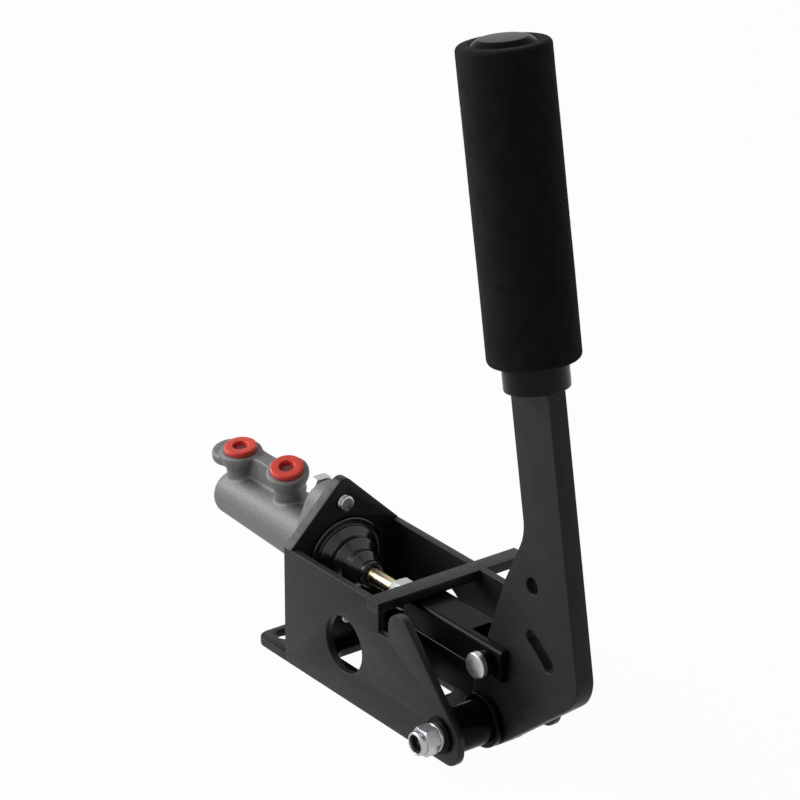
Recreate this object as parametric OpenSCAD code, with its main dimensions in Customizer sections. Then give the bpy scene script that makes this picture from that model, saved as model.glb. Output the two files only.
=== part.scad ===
// Upright hydraulic handbrake: a flat steel lever with a foam grip turns on a bolt in a
// folded bracket, and pushes a rod into the master cylinder on the bracket's end plate.
// X runs from the cylinder towards the lever, Y across the bracket, Z up from the floor.

/* [Bracket] */
// Outside width across the two side plates
bracket_w = 64; // [58:1:80]
// Thickness of the side plates and of the base plate
sheet_t = 4; // [3:0.5:5]
// Height of the side plates
wall_h = 61.5; // [56:0.5:68]
// Length of the side plates, end face to rear nose
wall_l = 137.5; // [136:0.5:150]
// Length of the far side plate, whose nose is shorter
far_wall_l = 134; // [133:0.5:136]
// Height where the sloping rear edge meets the nose
nose_z = 17; // [15:0.5:22]
// Radius of the lower corner of the nose
nose_r = 9; // [4:0.5:10]
// Rear end of the flat top of the side plates
peak_x = 95.5; // [94:0.5:100]
// Radius of the lobe behind the notch
lobe_r = 8; // [4:0.5:9]
// Corner radius where the sloping edge meets the nose
slope_r = 5; // [2:0.5:8]
// Radius of the lightening hole in each side plate
window_r = 14.3; // [12:0.1:15]
// Distance of the lightening hole from the front edge
window_x = 48.5; // [46:0.5:52]
// Height of the lightening hole
window_z = 29; // [28:0.5:32]
// Width of the relief notch behind the cross bar
notch_w = 7.5; // [5:0.5:9]
// Height of the bottom of the relief notch
notch_z = 46.5; // [42:0.5:50]

/* [Base] */
// Length of the foot in front of the end plate
foot_l = 25.5; // [24:0.5:40]
// Corner radius of the foot
foot_r = 7; // [3:0.5:12]
// Rear end of the base plate between the side plates
base_l = 104; // [102:1:108]
// Distance of the front fixing holes ahead of the end plate
front_bolt_x = 16.5; // [14:0.5:18]
// Distance of the rear fixing holes from the rear end of the base plate
rear_bolt_edge = 10.5; // [8:0.5:12]
// Distance between the left and right fixing holes
bolt_span = 39; // [34:0.5:41]
// Diameter of the fixing holes
bolt_hole_d = 10.5; // [6.5:0.5:11]
// Half width of the opening in the base
slot_r = 13; // [10:0.5:14]
// Corner radius of that opening
slot_corner = 6; // [3:0.5:9]
// Front end of the long slot
slot_front = 13.5; // [12:0.5:24]
// Rear end of the long slot
slot_rear = 79.5; // [70:0.5:84]

/* [Cross bar] */
// Width of the cross bar along the bracket
strap_w = 9.5; // [8:0.5:12]
// Thickness of the cross bar
strap_t = 5; // [3:0.5:5]
// Rear edge of the cross bar
strap_x = 76; // [74:1:77]
// How far the cross bar stands out past the far side plate
strap_over = 24; // [10:1:30]

/* [End plate] */
// Thickness of the end plate
end_t = 6; // [5:0.5:8]
// Height of the peak of the end plate before it is rounded
gable_top = 92.5; // [90:0.5:94]
// Radius of the rounded peak of the end plate
gable_r = 5; // [2:0.5:8]
// Radius of the hole for the dust boot
boot_hole_r = 22; // [21:0.25:22.5]

/* [Master cylinder] */
// Depth of the cylinder axis and push rod below the top of the side plates
axis_drop = 13.5; // [13.5:0.25:14.5]
// Distance between the two flange bolts
flange_span = 60; // [58:0.5:62]
// Thickness of the cast flange
flange_t = 11; // [8:0.5:14]
// Radius of the flange lugs
lug_r = 13; // [10:0.5:13]
// Clearance of the lower lug above the foot, where the lug is trimmed level
foot_gap = 0.5; // [0.3:0.1:1]
// Half width of the flange at the barrel
flange_half = 21; // [19:0.5:23]
// Length of the barrel, flange face to closed end
barrel_l = 93; // [82:1:110]
// Barrel radius next to the flange
barrel_root_r = 14; // [13:0.25:15]
// Barrel radius at the closed end
barrel_tip_r = 11.4; // [11:0.2:13]
// Bore radius
bore_r = 7.94; // [7:0.02:8.2]
// Thickness of the closed end ahead of the bore
bore_end = 13; // [9:1:17]
// Outside diameter of the flange bolts
flange_bolt_d = 8; // [6:0.5:8]

/* [Ports] */
// Front port: distance behind the closed end of the barrel
front_port_back = 9.2; // [7:0.2:13]
// Front port: offset of its foot to the far side
front_port_y = 3.9; // [0:0.1:5]
// Front port: length from the cylinder axis to its rim
front_port_l = 25.7; // [24:0.1:30]
// Front port: tilt towards the near side
front_port_tilt = 8; // [0:1:12]
// Front port: tilt towards the lever
front_port_lean = 3; // [0:1:8]
// Rear port: distance ahead of the flange face
rear_port_x = 46.1; // [44:0.1:50]
// Rear port: offset of its foot to the far side
rear_port_y = 7; // [0:0.1:7]
// Rear port: length from the cylinder axis to its rim
rear_port_l = 32.2; // [30:0.1:34]
// Rear port: tilt towards the near side
rear_port_tilt = 15; // [0:1:16]
// Rear port: tilt towards the lever
rear_port_lean = 11; // [0:1:12]
// Radius of the port rim
rim_r = 10.8; // [10:0.1:11.5]
// How far the front pad reaches ahead of its port
pad_ahead = 8; // [3:0.5:9]
// Radius of the front pad
pad_r = 10.4; // [8:0.1:11]
// How far the front pad lies below the rim
pad_drop = 3; // [0.5:0.5:4]
// Thickness of the front pad
pad_t = 5; // [3:0.5:7]
// Width of the bridge that joins the ports
bridge_w = 10; // [6:0.5:12]
// Near face of the bridge
bridge_y = 0.5; // [-2:0.5:2]
// Height of the bridge above the cylinder axis
bridge_h = 24.5; // [20:0.5:24.5]
// Radius of the port neck
neck_r = 8.2; // [7.5:0.1:9]
// Radius of the port thread
port_r = 5; // [4:0.1:5.5]
// Radius of the plug flange
plug_r = 8.3; // [7:0.1:9.5]
// Thickness of the plug flange
plug_t = 2.5; // [2:0.1:4]

/* [Push rod] */
// Diameter of the push rod
rod_d = 8; // [7:0.25:8]
// Front face of the lock nut, behind the end plate's front face
lock_nut_x = 49.5; // [48:0.5:52]
// Nut width across flats
nut_af = 13; // [12:0.5:13]
// Lock nut thickness
lock_nut_t = 6.5; // [4:0.5:6.5]
// Diameter of the clevis shank
shank_d = 14; // [12:0.5:15]
// Front face of the clevis block
block_x = 66; // [62:1:70]
// Width of the clevis across its cheeks
clevis_w = 20; // [19:0.5:22]
// Height of the clevis
clevis_h = 16; // [14:0.5:16]
// How far the cheeks reach past the pin
clevis_nose = 9; // [8:0.5:11]
// How far the fork is open ahead of the pin
fork_open = 18; // [16:0.5:20]
// Edge chamfer of the clevis
clevis_edge = 2.5; // [0.5:0.25:2.5]

/* [Pivot] */
// Pivot bolt distance behind the end plate's front face
pivot_x = 124; // [122:0.5:126]
// Pivot bolt height
pivot_z = 13.6; // [13.5:0.1:15]
// Pivot bolt diameter
pivot_d = 8; // [7:0.25:8]
// Outside radius of the sleeve the lever turns on
sleeve_r = 6.5; // [6:0.1:7]
// Radius of the spacer tubes
spacer_r = 11; // [9:0.25:12]
// Radius of the thrust washers
thrust_r = 13.3; // [11:0.1:13.4]
// Thickness of the thrust washers
thrust_t = 4; // [1.5:0.25:5]
// Radius of the outer washers
washer_r = 9; // [8:0.25:10]
// Thickness of the outer washers
washer_t = 2; // [1:0.2:2.4]
// Thickness of the lock washer under the nut
lock_washer_t = 2.4; // [1.6:0.1:2.6]
// Radius of the lock washer
lock_washer_r = 7; // [6:0.25:8]
// Pivot nut thickness without its collar
nut_t = 7; // [5:0.5:7.5]
// Length of the collar of the locking nut
collar_l = 3.2; // [1.5:0.1:3.5]
// Bolt head height
head_t = 5.3; // [4:0.1:6]

/* [Lever] */
// Thickness of the lever bar
lever_t = 10; // [8:0.5:10]
// Width of the upright bar
bar_w = 28; // [26:0.5:30]
// Width of the lever's tongue inside the handle tube
tongue_w = 24; // [20:0.5:24]
// Forward lean of the bar at rest, degrees
lean = 10; // [8:0.2:12]
// Radius of the round end at the pivot
end_r = 13.4; // [11:0.1:13.4]
// Heel corner behind the pivot
heel_x = 66.8; // [64:0.1:70]
// Heel corner above the pivot
heel_z = 35.5; // [32:0.5:38]
// Heel corner radius
heel_r = 18; // [12:1:20]
// Where the bar starts to widen, measured up the bar from the heel
throat_l = 75.5; // [70:0.5:82]
// Radius of the throat
throat_r = 22; // [10:1:26]
// Corner of the lever's front edge below the throat, distance behind the clevis pin
knee_back = 5; // [4:0.5:6]
// Corner of the lever's front edge below the throat, height above the clevis pin
knee_up = 42; // [40:0.5:44]
// Radius of that corner
knee_r = 25; // [15:1:27]
// Clevis pin ahead of (minus) or behind the pivot
pin_dx = 7; // [5:0.5:8]
// Clevis pin diameter
pin_d = 8; // [7:0.25:8]
// Length of the collar between the pin head and the clevis
pin_collar_l = 4.5; // [1:0.25:6]
// Radius of that collar
pin_collar_r = 6; // [5:0.25:7]
// Clevis pin head radius
pin_head_r = 6.5; // [5.5:0.25:7]
// Clevis pin head thickness
pin_head_t = 3.5; // [2:0.25:4]
// How far the clevis pin stands out past the far cheek
pin_tail = 5; // [4.5:0.25:6]
// Front edge of the lever beside the pin, ahead of the pin
pin_edge = 10.3; // [9:0.1:11]
// Small drilled hole, diameter
drill_d = 8; // [5:0.5:9]
// Small drilled hole, distance behind the clevis pin
drill_back = 25; // [22:0.5:28]
// Small drilled hole, height above the clevis pin
drill_up = 47; // [44:0.5:50]
// Curved slot: radius about the pivot
arc_r = 64; // [60:0.5:66]
// Curved slot: width
arc_w = 7; // [4:0.5:8]
// Curved slot: lowest angle above the floor, degrees
arc_start = 46; // [42:1:50]
// Curved slot: angle it covers, degrees
arc_sweep = 14; // [8:1:16]

/* [Handle] */
// Outside diameter of the handle tube
tube_d = 30.5; // [30.5:0.5:36]
// Wall of the handle tube
tube_wall = 1.8; // [1.2:0.1:1.8]
// Lower end of the tube, measured up the bar from the heel
tube_start = 145.5; // [135:0.5:155]
// Length of the tube
tube_l = 153; // [140:1:170]
// Length of bar inside the tube
bar_in_tube = 30; // [15:1:50]
// Bare tube below the foam
bare_l = 12.5; // [6:0.5:20]
// Outside diameter of the foam grip
foam_d = 43; // [40:0.5:48]
// How far the foam reaches past the end of the tube
foam_over = 3; // [0:0.5:4]
// Edge radius of the foam grip
foam_edge = 2.5; // [1:0.5:4]
// Height of the end cap above the tube
cap_h = 5; // [3:0.5:8]

/* [Clearances] */
// Gap between faces that move past each other
run_gap = 0.3; // [0.2:0.05:0.5]
// Radial clearance of a turning or sliding fit
fit_gap = 0.05; // [0.02:0.01:0.09]
// Radial clearance of a bolt in its hole
bolt_gap = 0.25; // [0.1:0.05:0.4]
// Rise of the clevis pin in its hole over the pull
pin_rise = 0.9; // [0.8:0.05:1.2]
// Fall of the clevis pin in its hole over the pull
pin_fall = 0.9; // [0.7:0.05:1.2]

/* [Hidden] */
$fn = 64;

half_w = bracket_w / 2;
wall_y = half_w - sheet_t;
rear_bolt_x = base_l - rear_bolt_edge;
bolt_mid_x = (rear_bolt_x - front_bolt_x) / 2;
axis_z = wall_h - axis_drop;
bore_l = barrel_l - bore_end;
front_port_x = barrel_l - front_port_back;
flange_half_span = flange_span / 2;
flange_bolt_r = flange_bolt_d / 2;
over = 1;

pin_dz = axis_z - pivot_z;
pin_r = pin_d / 2;
pin_x = pivot_x + pin_dx;
cheek_y = clevis_w / 2;
fork_half = lever_t / 2 + run_gap;
rod_r = rod_d / 2;
nut_r = nut_af / 2 / cos(30);
lever_half = lever_t / 2;
stack_y = lever_half + run_gap;
spacer_y = stack_y + thrust_t;
pivot_r = pivot_d / 2;
tube_r = tube_d / 2;
tube_in_r = tube_r - tube_wall;

up = [-sin(lean), cos(lean)];
back = [cos(lean), sin(lean)];
heel = [heel_x, heel_z];
shoulder = heel + up * (tube_start - fit_gap);
tongue = shoulder - back * (bar_w - tongue_w) / 2;
tongue_end = tongue + up * bar_in_tube;
throat = heel - back * bar_w + up * throat_l;
knee = [pin_dx + knee_back, pin_dz + knee_up];
pin_front = [pin_dx - pin_edge, pin_dz];
tube_foot = heel - back * bar_w / 2 + up * tube_start;
drill = [pin_dx + drill_back, pin_dz + drill_up];

piston_rear = -5.4;
piston_l = 26;
piston_r = bore_r - fit_gap;
ball_r = 4.6;
ball_x = -11;
clip_groove_d = 0.9;
clip_t = 1.2;
clip_x = -3.3;
seal_t = 3;
spring_wire = 0.9;
spring_r = bore_r - 2.6;
spring_turns = 9;
spring_steps = 14;

// The unit vector of v
function unit(v) = v / norm(v);

// An arc of radius c[2] that rounds the corner c between its neighbours a and b
function corner(a, c, b, n = 10) =
    let (p = [c[0], c[1]], u = unit([a[0], a[1]] - p), v = unit([b[0], b[1]] - p))
    let (half = acos(u * v) / 2, m = p + unit(u + v) * c[2] / sin(half))
    let (s = p + u * c[2] / tan(half) - m, e = p + v * c[2] / tan(half) - m)
    let (a0 = atan2(s[1], s[0]), turn = (atan2(e[1], e[0]) - a0 + 540) % 360 - 180)
    c[2] == 0 ? [p] : [for (i = [0 : n]) m + c[2] * [cos(a0 + turn * i / n), sin(a0 + turn * i / n)]];

// The outline through corners [x, y, radius], each rounded by its own radius
function rounded(q) = [for (i = [0 : len(q) - 1])
    each corner(q[(i + len(q) - 1) % len(q)], q[i], q[(i + 1) % len(q)])];

// The direction of the point where the line from p touches a circle of radius r about the origin
function touch(p, r, side) = atan2(p[1], p[0]) + side * acos(r / norm(p));

// The round end of the lever, from its front edge under the pivot to its lower edge
function round_end(n = 24) =
    let (a = touch(pin_front, end_r, 1), b = touch(heel, end_r, -1) + 360)
    [for (i = [0 : n]) let (t = a + (b - a) * i / n) end_r * [cos(t), sin(t)]];

// The bracket's own frame, from the front face of the end plate
module bracket_frame() translate([-bolt_mid_x, 0, 0]) children();

// Turns local +Z along the cylinder axis, starting at x
module along_axis(x) translate([x, 0, axis_z]) rotate([0, 90, 0]) children();

// Turns local +Z across the bracket, starting at y
module across(x, y, z) translate([x, y, z]) rotate([-90, 0, 0]) children();

// Extrudes an outline of the side view from y to y + t
module side_slab(y, t) translate([0, y + t, 0]) rotate([90, 0, 0]) linear_extrude(t) children();

// Extrudes an outline of the end view from x to x + t
module end_slab(x, t) translate([x, 0, 0]) rotate([90, 0, 90]) linear_extrude(t) children();

// A flat ring
module ring(r_out, r_in, t) difference() {
    cylinder(r = r_out, h = t);
    translate([0, 0, -over]) cylinder(r = r_in, h = t + 2 * over);
}

// A plain hexagon nut or bolt head
module hexagon(t) cylinder(r = nut_r, h = t, $fn = 6);

// The height of the sloping rear edge at x
function slope_z(x) = wall_h + (nose_z - wall_h) * (x - peak_x) / (wall_l - peak_x);

// The corners of a side plate of length l, with or without the relief notch behind the cross bar
function wall_corners(l, notched) = concat(
    [[0, 0, 1], [l, 0, nose_r], [l, slope_z(l), slope_r], [peak_x, wall_h, slope_r]],
    notched ? [[strap_x + notch_w, wall_h, lobe_r], [strap_x + notch_w, notch_z, 1],
        [strap_x, notch_z, 1]] : [[strap_x, wall_h, 0]],
    [[strap_x, wall_h - strap_t, 0], [strap_x - strap_w, wall_h - strap_t, 0],
        [strap_x - strap_w, wall_h, 0], [0, wall_h, 0]]);

module side_plate(y, l, notched) difference() {
    side_slab(y, sheet_t) polygon(rounded(wall_corners(l, notched)));
    across(window_x, y - over, window_z) cylinder(r = window_r, h = sheet_t + 2 * over);
    across(pivot_x, y - over, pivot_z) cylinder(r = pivot_r + bolt_gap, h = sheet_t + 2 * over);
}

module near_side_plate() color("#3c3c40") bracket_frame() side_plate(-half_w, wall_l, true);

module far_side_plate() color("#3c3c40") bracket_frame() side_plate(wall_y, far_wall_l, false);

module base_plate() color("#38383c") bracket_frame() difference() {
    union() {
        linear_extrude(sheet_t) polygon(rounded([[-foot_l, -half_w, foot_r], [0, -half_w, 0],
            [0, half_w, 0], [-foot_l, half_w, foot_r]]));
        translate([0, -wall_y, 0]) cube([base_l, 2 * wall_y, sheet_t]);
    }
    for (x = [-front_bolt_x, rear_bolt_x], y = [-bolt_span / 2, bolt_span / 2])
        translate([x, y, -over]) cylinder(d = bolt_hole_d, h = sheet_t + 2 * over);
    for (x = [slot_front + slot_corner, slot_rear - slot_corner], y = [slot_corner - slot_r, slot_r - slot_corner])
        translate([x, y, -over]) cylinder(r = slot_corner, h = sheet_t + 2 * over);
    translate([slot_front + slot_corner, -slot_r, -over])
        cube([slot_rear - slot_front - 2 * slot_corner, 2 * slot_r, sheet_t + 2 * over]);
    translate([slot_front, slot_corner - slot_r, -over])
        cube([slot_rear - slot_front, 2 * (slot_r - slot_corner), sheet_t + 2 * over]);
}

module cross_bar() color("#2e2e30") bracket_frame()
    translate([strap_x - strap_w, -half_w, wall_h - strap_t])
        cube([strap_w, bracket_w + strap_over, strap_t]);

module end_plate() color("#34363a") bracket_frame() difference() {
    end_slab(0, end_t) polygon(rounded([[-wall_y, sheet_t, 0], [wall_y, sheet_t, 0],
        [wall_y, wall_h, 0], [half_w, wall_h, 0], [0, gable_top, gable_r], [-half_w, wall_h, 0],
        [-wall_y, wall_h, 0]]));
    along_axis(-over) cylinder(r = boot_hole_r, h = end_t + 2 * over);
    for (s = [-1, 1]) translate([0, 0, s * flange_half_span])
        along_axis(-over) cylinder(r = flange_bolt_r + fit_gap, h = end_t + 2 * over);
}

// One port boss on its own axis: a neck that flares to a flat rim
module port_boss(l) rotate_extrude() polygon([[0, 0], [neck_r, 0], [neck_r, l - 9],
    [neck_r + 0.5, l - 6.5], [rim_r - 0.4, l - 4], [rim_r, l - 3.2], [rim_r, l - 0.8], [rim_r - 0.8, l], [0, l]]);

// The threaded hole of a port and its passage down to the bore
module port_drilling(l) {
    translate([0, 0, l - port_depth]) cylinder(r = port_r, h = port_depth + over);
    cylinder(r = passage_r, h = l);
}
port_depth = 12;
passage_r = 1.5;
plug_stem_l = 9;
recess_d = 6.5;
recess_depth = 2;

// The two port axes, from the middle of the bore outwards
module front_port() translate([-front_port_x, front_port_y, axis_z])
    rotate([front_port_tilt, front_port_lean, 0]) children();
module rear_port() translate([-rear_port_x, rear_port_y, axis_z])
    rotate([rear_port_tilt, rear_port_lean, 0]) children();

module cylinder_body() color("#83817d") bracket_frame() difference() {
    union() {
        along_axis(-barrel_l) rotate_extrude() polygon([[0, 0], [barrel_tip_r - 5, 0],
            [barrel_tip_r - 2.4, 0.9], [barrel_tip_r - 0.8, 2.6], [barrel_tip_r, 5],
            [barrel_root_r, barrel_l - flange_t - 4], [barrel_root_r + 3, barrel_l - flange_t],
            [barrel_root_r, barrel_l - flange_t / 2], [0, barrel_l - flange_t / 2]]);
        end_slab(-flange_t, flange_t) translate([0, axis_z]) polygon(rounded([
            [0, flange_half_span + 2 * lug_r, lug_r], [flange_half + 3, 0, flange_half],
            [0, -flange_half_span - 2 * lug_r, lug_r], [-flange_half - 3, 0, flange_half]]));
        front_port() port_boss(front_port_l);
        front_port() translate([-pad_ahead, 0, front_port_l - pad_t - pad_drop]) cylinder(r = pad_r, h = pad_t);
        rear_port() port_boss(rear_port_l);
        side_slab(bridge_y, bridge_w) polygon([[-front_port_x, axis_z], [-rear_port_x, axis_z],
            [-rear_port_x, axis_z + bridge_h], [-front_port_x, axis_z + bridge_h]]);
    }
    translate([-flange_t - over, -half_w, -lug_r])
        cube([flange_t + 2 * over, bracket_w, lug_r + sheet_t + foot_gap]);
    along_axis(-bore_l) cylinder(r = bore_r, h = bore_l + over);
    along_axis(clip_x - fit_gap) cylinder(r = bore_r + clip_groove_d, h = clip_t + 2 * fit_gap);
    front_port() port_drilling(front_port_l);
    rear_port() port_drilling(rear_port_l);
    for (s = [-1, 1]) translate([0, 0, s * flange_half_span])
        along_axis(-flange_t - over) cylinder(r = flange_bolt_r + bolt_gap, h = flange_t + 2 * over);
}

module flange_bolts() color("#c9c9cc") bracket_frame() for (s = [-1, 1])
    translate([0, 0, s * flange_half_span]) {
        along_axis(-flange_t) cylinder(r = flange_bolt_r, h = flange_t + end_t + 2.5);
        along_axis(-flange_t - head_t) hexagon(head_t);
    }

// A plastic plug: a flange with a round recess on a stem that fills the port
module port_plug() difference() {
    rotate_extrude() polygon([[0, -plug_stem_l], [port_r - fit_gap, -plug_stem_l], [port_r - fit_gap, 0],
        [plug_r, 0], [plug_r, plug_t - 0.6], [plug_r - 0.6, plug_t], [0, plug_t]]);
    translate([0, 0, plug_t - recess_depth]) cylinder(d = recess_d, h = recess_depth + over);
}

module front_port_plug() color("#e0402f") bracket_frame()
    front_port() translate([0, 0, front_port_l]) port_plug();

module rear_port_plug() color("#e0402f") bracket_frame()
    rear_port() translate([0, 0, rear_port_l]) port_plug();

seal_seat_r = bore_r - 2.8;
secondary_x = 8;

module piston() color("#b9a77a") bracket_frame() difference() {
    along_axis(piston_rear - piston_l) rotate_extrude() polygon([[0, 0], [seal_seat_r, 0], [seal_seat_r, seal_t],
        [piston_r, seal_t], [piston_r, secondary_x], [seal_seat_r, secondary_x],
        [seal_seat_r, secondary_x + seal_t], [piston_r, secondary_x + seal_t], [piston_r, piston_l], [0, piston_l]]);
    along_axis(ball_x) cylinder(r = ball_r + run_gap, h = piston_l);
    translate([ball_x, 0, axis_z]) sphere(r = ball_r + run_gap);
}

module primary_seal() color("#1c1c1c") bracket_frame()
    along_axis(piston_rear - piston_l) ring(piston_r, seal_seat_r, seal_t);

module secondary_seal() color("#1c1c1c") bracket_frame()
    along_axis(piston_rear - piston_l + secondary_x) ring(piston_r, seal_seat_r, seal_t);

// A coil spring as one closed tube of six sides that follows a helix
module coil(l) {
    n = spring_turns * spring_steps;
    pitch = (l - 2 * spring_wire) / n;
    rings = [for (i = [0 : n], k = [0 : 5])
        let (a = 360 * i / spring_steps, q = spring_r + spring_wire * cos(60 * k))
        [q * cos(a), q * sin(a), spring_wire + pitch * i + spring_wire * sin(60 * k)]];
    sides = [for (i = [0 : n - 1], k = [0 : 5]) [6 * i + k, 6 * i + (k + 1) % 6,
        6 * i + 6 + (k + 1) % 6, 6 * i + 6 + k]];
    polyhedron(rings, concat([[5, 4, 3, 2, 1, 0]], sides, [[for (k = [0 : 5]) 6 * n + k]]));
}

module return_spring() color("#9a9a9c") bracket_frame()
    along_axis(-bore_l) mirror([1, 0, 0]) coil(bore_l + piston_rear - piston_l);

module retaining_washer() color("#b0b0b2") bracket_frame()
    along_axis(piston_rear + fit_gap) ring(bore_r - fit_gap, rod_r + 0.5, clip_x - piston_rear - 3 * fit_gap);

module circlip() color("#606064") bracket_frame() along_axis(clip_x) difference() {
    ring(bore_r + clip_groove_d - fit_gap, bore_r - 2, clip_t);
    translate([bore_r - 4, -2, -over]) cube([8, 4, clip_t + 2 * over]);
}

boot_r = boot_hole_r - 1.5;
boot_wall = 1.6;
boot_l = 31;
boot_lip_r = rod_r + 0.4;

// A moulded boot in three steps, with a lip that wipes the rod
module dust_boot() color("#202020") bracket_frame() along_axis(0) rotate_extrude() polygon([
    [boot_r, 0], [boot_r, 3], [boot_r - 2.5, 5], [boot_r - 2.5, 8], [boot_r - 6.5, 11], [boot_r - 6.5, 14.5],
    [boot_r - 10.5, 17.5], [boot_r - 11, 22], [boot_lip_r + 2.2, boot_l - 4], [boot_lip_r + 2.2, boot_l],
    [boot_lip_r, boot_l], [boot_lip_r, boot_l - 5], [boot_r - 11 - boot_wall, 21], [boot_r - 10.5 - boot_wall, 16],
    [boot_r - 6.5 - boot_wall, 13], [boot_r - 6.5 - boot_wall, 10], [boot_r - 2.5 - boot_wall, 7],
    [boot_r - 2.5 - boot_wall, 0]]);

rod_end_x = block_x + 14;

module push_rod() color("#c8b878") bracket_frame() union() {
    along_axis(ball_x) cylinder(r = rod_r, h = rod_end_x - ball_x);
    translate([ball_x, 0, axis_z]) sphere(r = ball_r);
}

module lock_nut() color("#c9c9cc") bracket_frame() along_axis(lock_nut_x) difference() {
    rotate([0, 0, 30]) hexagon(lock_nut_t);
    translate([0, 0, -over]) cylinder(r = rod_r + fit_gap, h = lock_nut_t + 2 * over);
}

clevis_end = pin_x + clevis_nose;

// The pin's way through the cheeks, with room for its rise and fall over the pull
module pin_way() {
    for (z = [-pin_fall, pin_rise]) across(pin_x, -clevis_w, axis_z + z)
        cylinder(r = pin_r + run_gap, h = 2 * clevis_w);
    translate([pin_x - pin_r - run_gap, -clevis_w, axis_z - pin_fall])
        cube([2 * (pin_r + run_gap), 2 * clevis_w, pin_rise + pin_fall]);
}

module clevis() color("#1f2022") bracket_frame() difference() {
    union() {
        along_axis(lock_nut_x + lock_nut_t) cylinder(d = shank_d, h = block_x - lock_nut_x - lock_nut_t + over);
        end_slab(block_x, clevis_end - block_x) translate([0, axis_z]) polygon(rounded([
            for (c = [[1, 1], [-1, 1], [-1, -1], [1, -1]])
                [c[0] * cheek_y, c[1] * clevis_h / 2, clevis_edge]]));
    }
    translate([pin_x - fork_open, -fork_half, axis_z - clevis_h])
        cube([fork_open + clevis_nose + over, 2 * fork_half, 2 * clevis_h]);
    along_axis(lock_nut_x) cylinder(r = rod_r + fit_gap, h = rod_end_x - lock_nut_x + over);
    pin_way();
}

pin_end = cheek_y + pin_tail;
pin_head_y = cheek_y + run_gap + pin_collar_l;
pin_washer_t = 1.5;
clip_ring_t = 1;

module clevis_pin() color("#c9c9cc") bracket_frame() difference() {
    union() {
        across(pin_x, -pin_head_y - pin_head_t, axis_z) rotate_extrude() polygon([[0, 0],
            [pin_head_r - 0.8, 0], [pin_head_r, 0.8], [pin_head_r, pin_head_t], [0, pin_head_t]]);
        across(pin_x, -pin_head_y, axis_z) cylinder(r = pin_r, h = pin_head_y + pin_end);
    }
    across(pin_x, cheek_y + run_gap + pin_washer_t, axis_z) ring(pin_r + over, pin_r - 1, clip_ring_t + 2 * fit_gap);
}

module pin_collar() color("#28282b") bracket_frame()
    across(pin_x, -pin_head_y, axis_z) ring(pin_collar_r, pin_r + fit_gap, pin_collar_l);

module pin_washer() color("#b5b5b8") bracket_frame()
    across(pin_x, cheek_y + run_gap, axis_z) ring(pin_r + 3, pin_r + fit_gap, pin_washer_t);

module pin_clip() color("#4a4a4e") bracket_frame()
    across(pin_x, cheek_y + run_gap + pin_washer_t + fit_gap, axis_z) difference() {
        ring(pin_r + 2.5, pin_r - 1 + fit_gap, clip_ring_t);
        translate([0, -1.5, -over]) cube([pin_r + 4, 3, clip_ring_t + 2 * over]);
    }

bolt_tail = 1;
nut_y = half_w + washer_t + lock_washer_t;
nut_hole_r = 3.4;

module pivot_bolt() color("#c9c9cc") bracket_frame() {
    across(pivot_x, -nut_y - nut_t, pivot_z)
        cylinder(r = pivot_r, h = nut_t + nut_y + half_w + washer_t + bolt_tail);
    across(pivot_x, half_w + washer_t, pivot_z) hexagon(head_t);
}

module pivot_nut() color("#c9c9cc") bracket_frame() across(pivot_x, -nut_y, pivot_z)
    mirror([0, 0, 1]) difference() {
        union() {
            hexagon(nut_t);
            cylinder(r = nut_af / 2 - 0.6, h = nut_t + collar_l);
        }
        translate([0, 0, -over]) cylinder(r = pivot_r + fit_gap, h = nut_t + over + fit_gap);
        cylinder(r = nut_hole_r, h = nut_t + collar_l + over);
    }

module pivot_washers() color("#26262a") bracket_frame() {
    across(pivot_x, -half_w - washer_t, pivot_z) ring(washer_r, pivot_r + fit_gap, washer_t);
    across(pivot_x, -nut_y, pivot_z) ring(lock_washer_r, pivot_r + fit_gap, lock_washer_t);
    across(pivot_x, half_w, pivot_z) ring(washer_r, pivot_r + fit_gap, washer_t);
}

module pivot_sleeve() color("#8d7b52") bracket_frame()
    across(pivot_x, -stack_y, pivot_z) ring(sleeve_r, pivot_r + fit_gap, 2 * stack_y);

module near_spacer() color("#232326") bracket_frame()
    across(pivot_x, -wall_y, pivot_z) ring(spacer_r, pivot_r + fit_gap, wall_y - spacer_y);

module far_spacer() color("#232326") bracket_frame()
    across(pivot_x, spacer_y, pivot_z) ring(spacer_r, pivot_r + fit_gap, wall_y - spacer_y);

module thrust_washers() color("#2c2c30") bracket_frame() {
    across(pivot_x, -spacer_y, pivot_z) ring(thrust_r, pivot_r + fit_gap, thrust_t);
    across(pivot_x, stack_y, pivot_z) ring(thrust_r, pivot_r + fit_gap, thrust_t);
}

// The lever's own plane: local X and Y lie along the bracket and up, from the pivot
module lever_plane() translate([pivot_x, 0, pivot_z]) rotate([90, 0, 0]) children();

module lever_slab() translate([0, 0, -lever_half]) linear_extrude(lever_t) polygon(rounded(concat([
    [heel[0], heel[1], heel_r], [shoulder[0], shoulder[1], 0], [tongue[0], tongue[1], 0],
    [tongue_end[0], tongue_end[1], 1],
    [tongue_end[0] - back[0] * tongue_w, tongue_end[1] - back[1] * tongue_w, 1],
    [tongue[0] - back[0] * tongue_w, tongue[1] - back[1] * tongue_w, 0],
    [shoulder[0] - back[0] * bar_w, shoulder[1] - back[1] * bar_w, 0],
    [throat[0], throat[1], throat_r], [knee[0], knee[1], knee_r], [pin_front[0], pin_front[1], 0]],
    [for (p = round_end()) [p[0], p[1], 0]])));

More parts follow.
